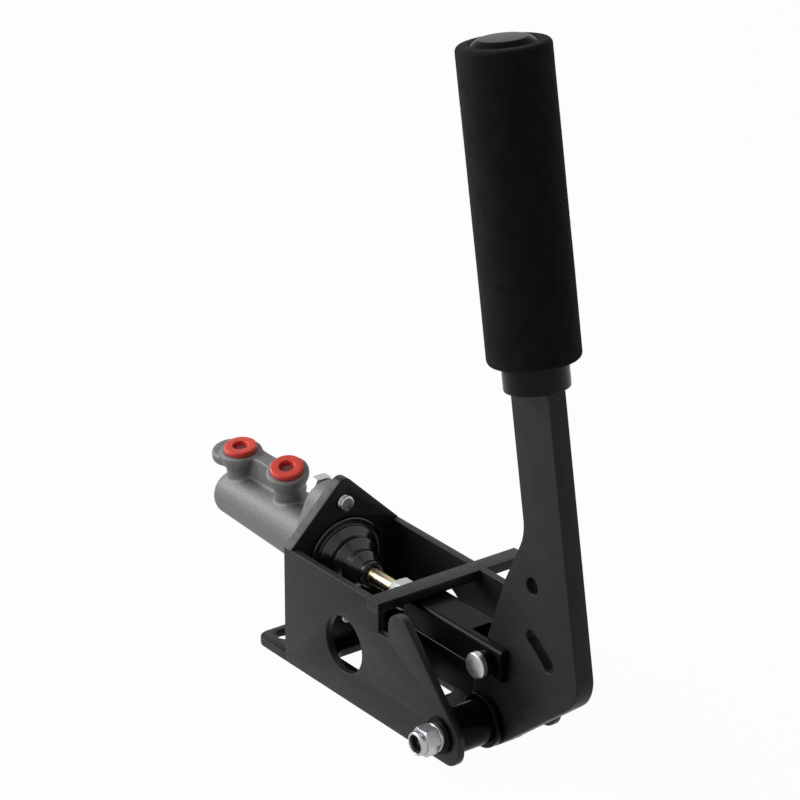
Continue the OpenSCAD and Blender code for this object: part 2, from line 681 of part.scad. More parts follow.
module lever_bar() color("#39393c") bracket_frame() lever_plane() difference() {
    lever_slab();
    translate([0, 0, -lever_t]) cylinder(r = sleeve_r + fit_gap, h = 2 * lever_t);
    translate([pin_dx, pin_dz, -lever_t]) cylinder(r = pin_r + fit_gap, h = 2 * lever_t);
    translate([drill[0], drill[1], -lever_t]) cylinder(d = drill_d, h = 2 * lever_t);
    rotate([0, 0, arc_start]) rotate_extrude(angle = arc_sweep)
        translate([arc_r - arc_w / 2, -lever_t]) square([arc_w, 2 * lever_t]);
    for (a = [arc_start, arc_start + arc_sweep]) rotate([0, 0, a])
        translate([arc_r, 0, -lever_t]) cylinder(d = arc_w, h = 2 * lever_t);
}

// The handle's own frame: local +Z runs up the tube from its lower end
module handle_frame() translate([pivot_x + tube_foot[0], 0, pivot_z + tube_foot[1]])
    rotate([0, -lean, 0]) children();

module handle_tube() color("#2b2b2d") bracket_frame() handle_frame() ring(tube_r, tube_in_r, tube_l);

module foam_grip() color("#121212") bracket_frame() handle_frame() translate([0, 0, bare_l])
    rotate_extrude() polygon(rounded([[tube_r + fit_gap, 0, 0], [foam_d / 2, 0, foam_edge],
        [foam_d / 2, foam_l, foam_edge], [tube_r + fit_gap, foam_l, 0]]));

foam_l = tube_l - bare_l + foam_over;
cap_stem_l = 14;

module end_cap() color("#161616") bracket_frame() handle_frame() translate([0, 0, tube_l])
    rotate_extrude() polygon([[0, -cap_stem_l], [tube_in_r - fit_gap, -cap_stem_l], [tube_in_r - fit_gap, 0],
        [tube_r, 0], [tube_r, cap_h * 0.45], [tube_r - 1.2, cap_h * 0.75], [tube_r - 4, cap_h], [0, cap_h]]);

base_plate();
near_side_plate();
far_side_plate();
end_plate();
cross_bar();
cylinder_body();
flange_bolts();
front_port_plug();
rear_port_plug();
piston();
primary_seal();
secondary_seal();
return_spring();
retaining_washer();
circlip();
dust_boot();
push_rod();
lock_nut();
clevis();
clevis_pin();
pin_collar();
pin_washer();
pin_clip();
pivot_bolt();
pivot_nut();
pivot_washers();
pivot_sleeve();
near_spacer();
far_spacer();
thrust_washers();
lever_bar();
handle_tube();
foam_grip();
end_cap();
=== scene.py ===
# %% [markdown]
# # An upright hydraulic handbrake
# A cranked steel lever with a foam grip turns on a bolt in a folded bracket. Pulling it
# pushes a rod into the cast cylinder at the front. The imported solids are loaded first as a
# fixed frame, and everything below dresses that frame without changing its sizes.

# %% load the frame
import math

import bmesh
import bpy
import numpy as np
from mathutils import Matrix, Vector


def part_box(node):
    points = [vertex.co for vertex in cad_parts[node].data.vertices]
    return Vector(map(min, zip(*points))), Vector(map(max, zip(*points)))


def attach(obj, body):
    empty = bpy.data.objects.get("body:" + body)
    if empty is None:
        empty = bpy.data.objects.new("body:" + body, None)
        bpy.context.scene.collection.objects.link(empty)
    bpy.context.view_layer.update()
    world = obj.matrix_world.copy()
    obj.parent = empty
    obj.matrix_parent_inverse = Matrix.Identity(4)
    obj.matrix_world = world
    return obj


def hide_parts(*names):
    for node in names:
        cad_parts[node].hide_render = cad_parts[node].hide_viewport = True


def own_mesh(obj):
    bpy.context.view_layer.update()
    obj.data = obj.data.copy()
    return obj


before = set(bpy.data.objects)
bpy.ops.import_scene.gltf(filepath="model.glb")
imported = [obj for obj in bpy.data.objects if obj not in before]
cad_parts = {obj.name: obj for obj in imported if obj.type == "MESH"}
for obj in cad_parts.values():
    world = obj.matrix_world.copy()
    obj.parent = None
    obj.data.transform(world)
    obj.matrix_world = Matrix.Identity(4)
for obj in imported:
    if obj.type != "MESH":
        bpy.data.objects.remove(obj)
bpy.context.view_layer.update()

# %% [markdown]
# The workshop drawing counts in millimetres from the front face of the end plate. The frame
# counts in metres from the middle of the four fixing holes, so one shift turns the first
# into the second. The sizes here are those that several pieces share.

# %% units and shared sizes
MM = 0.001
FRONT_X = -38.5
AXIS_Z = 48.0
AXIS_START = (0, 0, AXIS_Z)
PIVOT = (124.0, 13.6)
PIN = (131.0, 48.0)
HALF_W = 32.0
SHEET = 4.0
WALL_H = 61.5
BOLT_R, BOLT_HOLE_R = 4.0, 4.05
FLANGE_T, FLANGE_BOLT = 11.0, 30.0
ALONG, LEFT, RIGHT = (1, 0, 0), (0, -1, 0), (0, 1, 0)


def to_frame(points):
    """Drawing points in millimetres become frame points in metres: shift along X, then scale."""
    return (np.asarray(points, float) + np.array([FRONT_X, 0.0, 0.0])) * MM


print("the pivot is at", to_frame((PIVOT[0], 0, PIVOT[1])))

# %% [markdown]
# ## Camera
# The picture was taken from well above and behind the lever, with a long lens, so upright
# edges stay almost parallel. A long focal length from far away gives the same flat look.

# %% camera
def facing(place, way):
    """The turn and place of a thing whose front, its minus Z, looks along a direction."""
    return Matrix.Translation(place) @ Vector(way).to_track_quat("-Z", "Y").to_matrix().to_4x4()


EYE = (1.3821, -1.0219, 0.9103)
LOOK = (-0.7321, 0.5459, -0.4074)
camera_data = bpy.data.cameras.new("camera")
camera_data.sensor_width = 36.0
camera_data.lens = 181.3
camera_data.clip_end = 20.0
camera = bpy.data.objects.new("camera", camera_data)
bpy.context.scene.collection.objects.link(camera)
camera.matrix_world = facing(EYE, LOOK)
bpy.context.scene.camera = camera
bpy.context.scene.view_settings.view_transform = "Standard"
print("camera at", EYE)

# %% [markdown]
# ## Building surfaces with numpy
# Nearly every piece is one of three things: a profile turned round an axis, a grid of points
# given by a formula, or a flat outline with a thickness. One helper for each keeps the
# piece's own cell down to its sizes. They all end in the same cleaning up: points that lie
# together are merged, faces turn outwards, and only sharp edges stay sharp.

# %% from points to an object
MERGE = 1e-6
SOFT_ANGLE = 40.0


def cleaned(mesh):
    """Merges points closer than MERGE metres and turns every face outwards."""
    bm = bmesh.new()
    bm.from_mesh(mesh)
    bmesh.ops.remove_doubles(bm, verts=bm.verts, dist=MERGE)
    bmesh.ops.recalc_face_normals(bm, faces=bm.faces)
    bm.to_mesh(mesh)
    bm.free()


def placed(name, mesh, angle):
    """Puts a mesh in the scene, smooth except at edges that turn by more than the angle in degrees."""
    obj = bpy.data.objects.new(name, mesh)
    bpy.context.scene.collection.objects.link(obj)
    mesh.shade_smooth()
    mesh.set_sharp_from_angle(angle=math.radians(angle))
    return obj


def make(name, verts, faces, angle=SOFT_ANGLE):
    """A new object from points in metres and the indices of each face's corners."""
    mesh = bpy.data.meshes.new(name)
    mesh.from_pydata(np.asarray(verts).tolist(), [], np.asarray(faces).tolist())
    cleaned(mesh)
    return placed(name, mesh, angle)


def skin(name, grid, angle=SOFT_ANGLE):
    """Covers a grid of drawing points with a face per cell; the last column joins the first."""
    rows, columns = grid.shape[:2]
    i, j = np.meshgrid(np.arange(rows - 1), np.arange(columns), indexing="ij")
    k = (j + 1) % columns
    cells = np.stack([i * columns + j, i * columns + k, (i + 1) * columns + k, (i + 1) * columns + j], -1)
    return make(name, to_frame(grid.reshape(-1, 3)), cells.reshape(-1, 4), angle)


print("points closer than", MERGE, "m are merged")

# %% [markdown]
# A lathe makes most of the small pieces, and turning works the same way here. Each point of
# a profile has a distance along the axis and a radius, and it is carried round in a ring.

# %% turning
ROUND_COUNT = 96
NEARLY_SIDEWAYS = 0.9


def turn_basis(axis):
    """The axis at unit length, and two unit vectors at right angles to it and to each other."""
    a = np.asarray(axis, float)
    a = a / np.linalg.norm(a)
    helper = RIGHT if abs(a[1]) < NEARLY_SIDEWAYS else ALONG
    u = np.cross(helper, a)
    u = u / np.linalg.norm(u)
    return a, u, np.cross(a, u)


def angles(count):
    """Evenly spaced angles round one full turn."""
    return np.linspace(0.0, 2.0 * np.pi, count, endpoint=False)


def swept(origin, axis, s, r, count):
    """Points at distance s along an axis and radius r from it; r may change with the angle."""
    a, u, v = turn_basis(axis)
    t = angles(count)
    ring = np.cos(t)[:, None] * u + np.sin(t)[:, None] * v
    r = np.broadcast_to(np.asarray(r, float).reshape(len(s), -1), (len(s), count))
    return np.asarray(origin, float) + np.asarray(s)[:, None, None] * a + r[:, :, None] * ring[None]


def revolve(name, origin, axis, profile, count=ROUND_COUNT):
    """Turns a profile of (distance along the axis, radius) pairs round that axis."""
    p = np.asarray(profile, float)
    return skin(name, swept(origin, axis, p[:, 0], p[:, 1], count))


print("a turned piece has", ROUND_COUNT, "sides unless it says otherwise")

# %% [markdown]
# Outlines are lists of corners, each with its own rounding. A corner becomes an arc that
# touches both of its sides, so a drawing's corner table can be used as it stands.

# %% outlines
def on_circle(radius, t):
    """Points about the origin: radius times the cosine and the sine of each angle."""
    return np.stack([radius * np.cos(t), radius * np.sin(t)], 1)


def circle(x, y, r, count=64):
    """A round hole: points at every angle, r away from its centre."""
    return np.array([x, y]) + on_circle(r, angles(count))


def fillet(a, c, b, r, steps):
    """The arc of radius r in corner c between its neighbours a and b, centred on the corner's bisector."""
    if r <= 0:
        return np.array([c[:2]], float)
    p = np.array(c[:2], float)
    u = np.array(a[:2]) - p
    v = np.array(b[:2]) - p
    u = u / np.linalg.norm(u)
    v = v / np.linalg.norm(v)
    half = math.acos(np.clip(u @ v, -1, 1)) / 2
    m = p + (u + v) / np.linalg.norm(u + v) * r / math.sin(half)
    s = p + u * r / math.tan(half) - m
    e = p + v * r / math.tan(half) - m
    first = math.atan2(s[1], s[0])
    sweep = (math.atan2(e[1], e[0]) - first + 3 * math.pi) % (2 * math.pi) - math.pi
    return m + on_circle(r, first + sweep * np.linspace(0, 1, steps + 1))


def rounded(corners, steps=8, closed=True):
    """An outline through corners (x, y, radius), each rounded by its own radius; open ends stay square."""
    n = len(corners)
    arcs = [fillet(corners[i - 1], c, corners[(i + 1) % n], c[2] if closed or 0 < i < n - 1 else 0, steps)
            for i, c in enumerate(corners)]
    return np.concatenate(arcs)


def looped(corners, steps):
    """A rounded closed profile whose first point comes again at the end, so that turning it makes a ring."""
    profile = rounded(corners, steps)
    return np.vstack([profile, profile[:1]])


print("a round hole has", len(circle(0, 0, BOLT_HOLE_R)), "points")

# %% [markdown]
# A plate is an outline with holes. Filling such a shape by hand is fiddly, and Blender's flat
# curves do it well: they fill, thicken and round the edges in one step. The result becomes a
# plain mesh, which is then turned into the plane it belongs to.

# %% plates
PLATE_ANGLE = 28.0
PLATE_STEPS = 3
PLANES = {
    "side": ((1, 0, 0), (0, 0, 1), (0, -1, 0)),
    "end": ((0, 1, 0), (0, 0, 1), (1, 0, 0)),
    "floor": ((1, 0, 0), (0, 1, 0), (0, 0, 1)),
}


def plate(name, plane, outline, holes, low, high, edge, origin=(0, 0, 0)):
    """A flat outline with holes, filled and thickened from low to high, with edges rounded by edge."""
    curve = bpy.data.curves.new(name, "CURVE")
    curve.dimensions = "2D"
    curve.fill_mode = "BOTH"
    curve.extrude = ((high - low) / 2 - edge) * MM
    curve.bevel_depth = edge * MM
    curve.bevel_resolution = PLATE_STEPS
    curve.offset = -edge * MM
    for loop in [outline] + list(holes):
        spline = curve.splines.new("POLY")
        spline.points.add(len(loop) - 1)
        flat = np.column_stack([np.asarray(loop) * MM, np.zeros(len(loop)), np.ones(len(loop))])
        spline.points.foreach_set("co", flat.ravel())
        spline.use_cyclic_u = True
    shape = bpy.data.objects.new(name + "_curve", curve)
    bpy.context.scene.collection.objects.link(shape)
    mesh = bpy.data.meshes.new_from_object(shape.evaluated_get(bpy.context.evaluated_depsgraph_get()))
    bpy.data.objects.remove(shape)
    bpy.data.curves.remove(curve)
    across, upward, outward = (Vector(v) for v in PLANES[plane])
    turn = Matrix((across, upward, outward)).transposed().to_4x4()
    sign = -1.0 if plane == "side" else 1.0
    shift = Vector(to_frame(origin)) + outward * sign * ((low + high) / 2) * MM
    mesh.transform(Matrix.Translation(shift) @ turn)
    cleaned(mesh)
    mesh.name = name
    return placed(name, mesh, PLATE_ANGLE)


print("plates can lie in", len(PLANES), "planes:", sorted(PLANES))

# %% [markdown]
# ## Finishes
# A finish is a base colour that drifts a little over the surface, a roughness that drifts
# too, and a fine relief. Noise at three sizes does all of it. Patterns read Object
# coordinates, so they keep their real size on every piece.

# %% finish helpers
NOISE_LOW, NOISE_HIGH = 0.3, 0.7
BLOTCH_DETAIL, GRAIN_DETAIL = 4.0, 2.0
GLOSS_SHARE, GLOSS_DRIFT = 0.4, 0.06
RELIEF_STRENGTH = 0.6


def add(nodes, kind, **values):
    """Adds one node and sets its plain attributes or input sockets by name."""
    node = nodes.new(kind)
    for key, value in values.items():
        if key in node.inputs:
            node.inputs[key].default_value = value
        else:
            setattr(node, key, value)
    return node


def noise(nodes, links, coords, size_mm, detail):
    """Noise whose blotches are about size_mm across: its scale is the number of them in a metre."""
    tex = add(nodes, "ShaderNodeTexNoise", Scale=1.0 / MM / size_mm, Detail=detail)
    links.new(coords, tex.inputs["Vector"])
    return tex.outputs["Fac"]


def spread(nodes, links, value, low, high):
    """Maps noise from its usual middle band to a band of its own."""
    span = add(nodes, "ShaderNodeMapRange")
    span.inputs["From Min"].default_value = NOISE_LOW
    span.inputs["From Max"].default_value = NOISE_HIGH
    span.inputs["To Min"].default_value = low
    span.inputs["To Max"].default_value = high
    links.new(value, span.inputs["Value"])
    return span.outputs["Result"]


def shade(colour, factor):
    """The colour times a factor, no brighter than white."""
    return tuple(min(1.0, c * factor) for c in colour) + (1.0,)


print("noise is read between", NOISE_LOW, "and", NOISE_HIGH)

# %% [markdown]
# The Principled shader takes all three. The colour comes from a ramp between a darker and a
# lighter shade, the roughness from smaller blotches, and the relief from the finest grain.

# %% one finish
def finish(name, colour, rough, metal=0.0, drift=0.15, blotch=9.0, grain=0.6, relief=0.05,
           second=None, **sockets):
    """Colour between two shades by blotches, roughness by smaller ones, relief by fine grain, sizes in mm."""
    mat = bpy.data.materials.new(name)
    mat.use_nodes = True
    nodes, links = mat.node_tree.nodes, mat.node_tree.links
    surface = nodes["Principled BSDF"]
    coords = add(nodes, "ShaderNodeTexCoord").outputs["Object"]
    ramp = add(nodes, "ShaderNodeValToRGB")
    dark, light = ramp.color_ramp.elements
    dark.position = NOISE_LOW
    light.position = NOISE_HIGH
    dark.color = shade(colour, 1.0 - drift)
    light.color = shade(second or colour, 1.0 + drift)
    links.new(noise(nodes, links, coords, blotch, BLOTCH_DETAIL), ramp.inputs["Fac"])
    links.new(ramp.outputs["Color"], surface.inputs["Base Color"])
    gloss = noise(nodes, links, coords, blotch * GLOSS_SHARE, BLOTCH_DETAIL)
    rough_band = spread(nodes, links, gloss, rough - GLOSS_DRIFT, rough + GLOSS_DRIFT)
    links.new(rough_band, surface.inputs["Roughness"])
    bump = add(nodes, "ShaderNodeBump", Strength=RELIEF_STRENGTH, Distance=relief * MM)
    links.new(noise(nodes, links, coords, grain, GRAIN_DETAIL), bump.inputs["Height"])
    links.new(bump.outputs["Normal"], surface.inputs["Normal"])
    surface.inputs["Metallic"].default_value = metal
    for key, value in sockets.items():
        surface.inputs[key.replace("_", " ")].default_value = value
    return mat


def wear(obj, mat):
    """Gives an object one finish in place of what it had."""
    obj.data.materials.clear()
    obj.data.materials.append(mat)


def dress(obj, mat, body, *nodes):
    """Gives a piece its finish, the body it moves with and the solids it stands for."""
    wear(obj, mat)
    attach(obj, body)
    if nodes:
        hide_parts(*nodes)
    return obj


print("relief strength", RELIEF_STRENGTH)

# %% [markdown]
# The bracket and lever wear a satin black powder coat with a slight orange peel. The foam is
# the darkest thing in the picture: it swallows light in thousands of tiny open cells, so it
# is rough and has little shine. The blacks have low specular levels, because the white
# background would otherwise turn their top faces grey.

# %% dark finishes
POWDER = finish("powder_coat", (0.0145, 0.014, 0.0165), 0.42, grain=0.7, drift=0.12, Specular_IOR_Level=0.22)
LEVER_COAT = finish("lever_coat", (0.0125, 0.012, 0.014), 0.46, drift=0.12, Specular_IOR_Level=0.20)
RUBBER = finish("boot_rubber", (0.020, 0.020, 0.022), 0.22, grain=0.8, relief=0.03)
BLACK = finish("black_steel", (0.0065, 0.0065, 0.0075), 0.24, grain=0.5, relief=0.015,
               Specular_IOR_Level=0.05)
FOAM = finish("foam", (0.0100, 0.0100, 0.0100), 0.92, grain=0.45, relief=0.35, drift=0.25, blotch=14.0,
              Specular_IOR_Level=0.15)
TUBE_PAINT = finish("tube_paint", (0.006, 0.006, 0.0065), 0.3, grain=0.8, relief=0.03, drift=0.2,
                    Specular_IOR_Level=0.12)
GLOSS = finish("cap_gloss", (0.008, 0.009, 0.009), 0.16, grain=3.0, relief=0.01, drift=0.1,
               Specular_IOR_Level=0.02)
print("dark finishes:", len(bpy.data.materials))

# %% [markdown]
# The cylinder is bare cast alloy: dull, grey and grainy, with only a share of metal in it.
# Nuts and bolts are zinc plated, and the rod has the yellow tint of an older plating. The
# plugs are plain red plastic.

# %% metal and plastic finishes
CAST = finish("cast_alloy", (0.180, 0.176, 0.172), 0.55, metal=0.3, grain=0.8, relief=0.25, drift=0.10,
              blotch=1.6)
RED = finish("red_plug", (0.90, 0.060, 0.032), 0.40, grain=1.5, relief=0.02, drift=0.08)
# dark red painted shade for the hollow of each plug socket
SOCKET_SHADE_RED = finish("red_socket_painted_shade", (0.16, 0.008, 0.006), 0.6, grain=1.0, relief=0.02, drift=0.2, blotch=2.0)
ZINC = finish("zinc", (0.45, 0.45, 0.46), 0.30, metal=1.0, grain=1.5, relief=0.006, drift=0.1)
YELLOW = finish("yellow_zinc", (0.62, 0.51, 0.28), 0.26, metal=1.0, second=(0.58, 0.51, 0.33),
                drift=0.05, blotch=4.0)
BRONZE = finish("bronze", (0.36, 0.24, 0.10), 0.35, metal=1.0, relief=0.03)
SPRING = finish("spring_steel", (0.42, 0.42, 0.43), 0.3, metal=1.0, grain=0.5, relief=0.02)
print("finishes in all:", len(bpy.data.materials))

# %% [markdown]
# ## The bracket
# Four plates and a bar are welded into a trough. Each plate is an outline with holes. Laser
# cut sheet never has razor edges after coating, so every edge gets a small round. The side
# plates come first: they have a round window, a sloping rear edge and a seat for the bar,
# and the near one has a notch behind the bar.

# %% side plates
STRAP_X, STRAP_W, STRAP_T, STRAP_OVER, STRAP_EDGE = 76.0, 9.5, 5.0, 24.0, 0.3
NEAR_L, FAR_L, PEAK_X, NOSE_Z = 137.5, 134.0, 95.5, 17.0
FRONT_ROUND, HEEL_ROUND, NOSE_ROUND, PEAK_ROUND = 1, 9, 5, 5
NOTCH_W, NOTCH_Z, NOTCH_ROUND, LOBE_ROUND = 7.5, 46.5, 1, 8
WINDOW_X, WINDOW_Z, WINDOW_R = 48.5, 29, 14.3
PIVOT_HOLE_R = 4.25
SHEET_EDGE = 0.5


def wall_outline(length, notched):
    """The side plate's corners: trough end, nose on the slope's line, then the cut-outs along the top."""
    top = WALL_H - STRAP_T
    front = STRAP_X - STRAP_W
    nose_z = WALL_H + (NOSE_Z - WALL_H) * (length - PEAK_X) / (NEAR_L - PEAK_X)
    rear = [(0, 0, FRONT_ROUND), (length, 0, HEEL_ROUND), (length, nose_z, NOSE_ROUND),
            (PEAK_X, WALL_H, PEAK_ROUND)]
    notch = [(STRAP_X + NOTCH_W, WALL_H, LOBE_ROUND), (STRAP_X + NOTCH_W, NOTCH_Z, NOTCH_ROUND),
             (STRAP_X, NOTCH_Z, NOTCH_ROUND)]
    cut = notch if notched else [(STRAP_X, WALL_H, 0)]
    seat = [(STRAP_X, top, 0), (front, top, 0), (front, WALL_H, 0), (0, WALL_H, 0)]
    return rounded(rear + cut + seat)


inner = HALF_W - SHEET
wall_holes = [circle(WINDOW_X, WINDOW_Z, WINDOW_R, ROUND_COUNT), circle(*PIVOT, PIVOT_HOLE_R)]
near_wall = plate("near_wall", "side", wall_outline(NEAR_L, True), wall_holes, -HALF_W, -inner, SHEET_EDGE)
far_wall = plate("far_wall", "side", wall_outline(FAR_L, False), wall_holes, inner, HALF_W, SHEET_EDGE)
dress(near_wall, POWDER, "bracket", "near_side_plate")
dress(far_wall, POWDER, "bracket", "far_side_plate")
print("side plates:", len(near_wall.data.polygons) + len(far_wall.data.polygons), "faces")

# %% [markdown]
# The base fits between the side plates and runs out in front as a foot. It has four fixing
# holes and a long opening which lets the floor show through the trough.

# %% base plate
FOOT_L, FOOT_ROUND = 25.5, 7
BASE_L, BASE_ROUND = 104, 1
SLOT_FRONT, SLOT_REAR, SLOT_HALF, SLOT_ROUND, SLOT_STEPS = 13.5, 79.5, 13, 6, 12
FIX_XS, FIX_YS, FIX_R = (-16.5, 93.5), (-19.5, 19.5), 5.25
base_outline = rounded([(-FOOT_L, -HALF_W, FOOT_ROUND), (0, -HALF_W, 0), (0, -inner, 0),
                        (BASE_L, -inner, BASE_ROUND), (BASE_L, inner, BASE_ROUND), (0, inner, 0),
                        (0, HALF_W, 0), (-FOOT_L, HALF_W, FOOT_ROUND)])
slot = rounded([(x, y, SLOT_ROUND) for x, y in ((SLOT_FRONT, -SLOT_HALF), (SLOT_REAR, -SLOT_HALF),
                                                (SLOT_REAR, SLOT_HALF), (SLOT_FRONT, SLOT_HALF))], SLOT_STEPS)
base_holes = [slot] + [circle(x, y, FIX_R) for x in FIX_XS for y in FIX_YS]
base = plate("base", "floor", base_outline, base_holes, 0, SHEET, SHEET_EDGE)
dress(base, POWDER, "bracket", "base_plate")
print("base holes:", len(base_holes))

# %% [markdown]
# The end plate carries the cylinder, so it is thicker. It sits between the side plates and
# rises to a gable above them, with a large hole for the boot and two for the flange bolts.

# %% end plate
END_T, END_EDGE = 6, 0.6
GABLE_Z, GABLE_ROUND, GABLE_STEPS = 92.5, 5, 16
BOOT_HOLE_R = 22
gable = rounded([(-inner, SHEET, 0), (inner, SHEET, 0), (inner, WALL_H, 0), (HALF_W, WALL_H, 0),
                 (0, GABLE_Z, GABLE_ROUND), (-HALF_W, WALL_H, 0), (-inner, WALL_H, 0)], GABLE_STEPS)
end_holes = [circle(0, AXIS_Z, BOOT_HOLE_R, ROUND_COUNT), circle(0, AXIS_Z + FLANGE_BOLT, BOLT_HOLE_R),
             circle(0, AXIS_Z - FLANGE_BOLT, BOLT_HOLE_R)]
end_wall = plate("end_wall", "end", gable, end_holes, 0, END_T, END_EDGE)
dress(end_wall, POWDER, "bracket", "end_plate")
print("end plate:", len(end_wall.data.polygons), "faces")

# %% [markdown]
# The cross bar is a flat strip let into both side plates. It runs on past the far one.

# %% cross bar
bar_ends = (-HALF_W, HALF_W + STRAP_OVER)
bar_outline = [(STRAP_X - STRAP_W, bar_ends[0]), (STRAP_X, bar_ends[0]), (STRAP_X, bar_ends[1]),
               (STRAP_X - STRAP_W, bar_ends[1])]
bar = plate("stop_bar", "floor", bar_outline, [], WALL_H - STRAP_T, WALL_H, STRAP_EDGE)
dress(bar, POWDER, "bracket", "cross_bar")
print("cross bar:", bar_ends[1] - bar_ends[0], "mm long")

# %% [markdown]
# ## The lever
# The lever is a thick flame-cut plate: a round eye on the pivot, a wide web for the clevis
# pin, then a narrow bar that leans towards the cylinder and ends inside the handle tube. Its
# corners are set out from the pivot, along the lean of the bar and across it.

# %% lever outline
LEAN = math.radians(10.0)
BAR_W, TONGUE_W, TONGUE_L, EYE_R = 28.0, 24.0, 30.0, 13.4
TUBE_AT, WELD_GAP, THROAT_UP = 145.5, 0.05, 75.5
HEEL_ARC, THROAT_ARC, KNEE_ARC, TONGUE_ARC = 18, 22, 25, 1
EYE_STEPS, LEVER_STEPS = 40, 16
lever_up = np.array([-math.sin(LEAN), math.cos(LEAN)])
lever_back = np.array([math.cos(LEAN), math.sin(LEAN)])
heel = np.array([66.8, 35.5])
knee = np.array([12.0, 76.4])
pin_front = np.array([-3.3, 34.4])
shoulder = heel + lever_up * (TUBE_AT - WELD_GAP)
tongue = shoulder - lever_back * (BAR_W - TONGUE_W) / 2
tongue_top = tongue + lever_up * TONGUE_L
throat = heel - lever_back * BAR_W + lever_up * THROAT_UP


def touch(p, side):
    """Where a line from p touches the eye: p's angle, and the arc cosine of radius over distance."""
    return math.atan2(p[1], p[0]) + side * math.acos(EYE_R / math.hypot(*p))


eye_arc = on_circle(EYE_R, np.linspace(touch(pin_front, 1), touch(heel, -1) + 2 * math.pi, EYE_STEPS))
rear_side = [(*heel, HEEL_ARC), (*shoulder, 0), (*tongue, 0), (*tongue_top, TONGUE_ARC)]
front_side = [(*(tongue_top - lever_back * TONGUE_W), TONGUE_ARC), (*(tongue - lever_back * TONGUE_W), 0),
              (*(shoulder - lever_back * BAR_W), 0), (*throat, THROAT_ARC), (*knee, KNEE_ARC),
              (*pin_front, 0)]
lever_outline = rounded(rear_side + front_side + [(*p, 0) for p in eye_arc], LEVER_STEPS)
print("lever outline:", len(lever_outline), "points")

# %% [markdown]
# Besides the eye and the pin hole, the web has a drilled hole and a slot curved about the
# pivot. The slot is drawn as two arcs with a half circle at each end.

# %% lever
LEVER_HALF, LEVER_EDGE = 5, 0.6
SLEEVE_HOLE_R, DRILL_R = 6.55, 4.0
PIN_AT, DRILL_AT = (7, 34.4), (32, 81.4)
ARC_R, ARC_W, ARC_START, ARC_SWEEP = 64, 7, 46, 14
ARC_STEPS, END_STEPS = 24, 13


def arc_slot(radius, width, start, sweep):
    """A slot along an arc about the pivot, with round ends: outer arc, end, inner arc, end."""
    t = np.radians(start + sweep * np.linspace(0, 1, ARC_STEPS))
    half_turn = np.linspace(0, np.pi, END_STEPS)[1:-1]
    far = on_circle(radius, t[-1:]) + on_circle(width / 2, t[-1] + half_turn)
    near = on_circle(radius, t[:1]) + on_circle(width / 2, t[0] + np.pi + half_turn)
    outside = on_circle(radius + width / 2, t)
    inside = on_circle(radius - width / 2, t)
    return np.concatenate([outside, far, inside[::-1], near])


def upright(p):
    """A point or direction of the lever's plane, given as (x, z), in space."""
    return np.array([p[0], 0, p[1]])


lever_holes = [circle(0, 0, SLEEVE_HOLE_R), circle(*PIN_AT, BOLT_HOLE_R), circle(*DRILL_AT, DRILL_R),
               arc_slot(ARC_R, ARC_W, ARC_START, ARC_SWEEP)]
lever = plate("lever", "side", lever_outline, lever_holes, -LEVER_HALF, LEVER_HALF, LEVER_EDGE,
              upright(PIVOT))
dress(lever, LEVER_COAT, "lever", "lever_bar")
print("lever:", len(lever.data.polygons), "faces")

# %% [markdown]
# ## The handle
# A steel tube is welded over the end of the bar. It could be a plain cylinder, but a turned
# profile gives it the small rounds at the ends that catch the light.

# %% handle tube
TUBE_R, TUBE_IN, TUBE_L = 15.25, 13.45, 153.0
handle_axis = upright(lever_up)
tube_foot = upright(PIVOT) + upright(heel) + TUBE_AT * handle_axis - BAR_W / 2 * upright(lever_back)
tube_corners = [(0, TUBE_IN, 0.3), (0, TUBE_R, 0.6), (TUBE_L, TUBE_R, 0.3), (TUBE_L, TUBE_IN, 0.3)]
tube = revolve("tube", tube_foot, handle_axis, looped(tube_corners, steps=4))
dress(tube, TUBE_PAINT, "lever", "handle_tube")
print("handle tube:", TUBE_L, "mm")

# %% [markdown]
# A tight sleeve of closed-cell foam covers the tube. It gets a gentle unevenness of its own,
# because a cut sleeve is never perfectly true: a slow ripple, and fine pits from seeded noise.

# %% foam sleeve
BARE = 12.5
FOAM_R, FOAM_L, FOAM_ROUND, FOAM_GAP = 21.5, 143.5, 2.5, 0.05
FOAM_ROWS, FOAM_COLUMNS, FOAM_STEPS, FOAM_ANGLE = 300, 200, 10, 80
RIPPLE, RIPPLE_WAVE, SLOW_WAVE = 0.12, 0.07, 0.031
PITS, PIT_SEED = 0.10, 7


def foam_sleeve():
    """Distance and radius over the sleeve: a round-ended profile, less a slow ripple and fine pits."""
    bore = TUBE_R + FOAM_GAP
    ends = rounded([(0, bore, 0), (0, FOAM_R, FOAM_ROUND), (FOAM_L, FOAM_R, FOAM_ROUND), (FOAM_L, bore, 0)],
                   FOAM_STEPS, closed=False)
    length = np.concatenate([[0], np.cumsum(np.hypot(*np.diff(ends, axis=0).T))])
    at = np.linspace(0, length[-1], FOAM_ROWS)
    s = np.interp(at, length, ends[:, 0])
    r = np.interp(at, length, ends[:, 1])
    t = angles(FOAM_COLUMNS)
    wave = np.sin(RIPPLE_WAVE * s[:, None] + 2 * t) * np.cos(SLOW_WAVE * s[:, None] - t)
    slow = RIPPLE * (1 + wave) / 2
    pits = PITS * np.random.default_rng(PIT_SEED).random((len(s), len(t)))
    depth = np.clip((r - TUBE_R) / (FOAM_R - TUBE_R), 0, 1)[:, None]
    return s, r[:, None] - depth * (slow + pits)


foam_s, foam_r = foam_sleeve()
foam_grid = swept(tube_foot + BARE * handle_axis, handle_axis, foam_s, foam_r, FOAM_COLUMNS)
foam = skin("foam_sleeve", np.concatenate([foam_grid, foam_grid[:1]]), FOAM_ANGLE)
dress(foam, FOAM, "lever", "foam_grip")
print("foam radius from", round(foam_r.min(), 2), "to", round(foam_r.max(), 2), "mm")

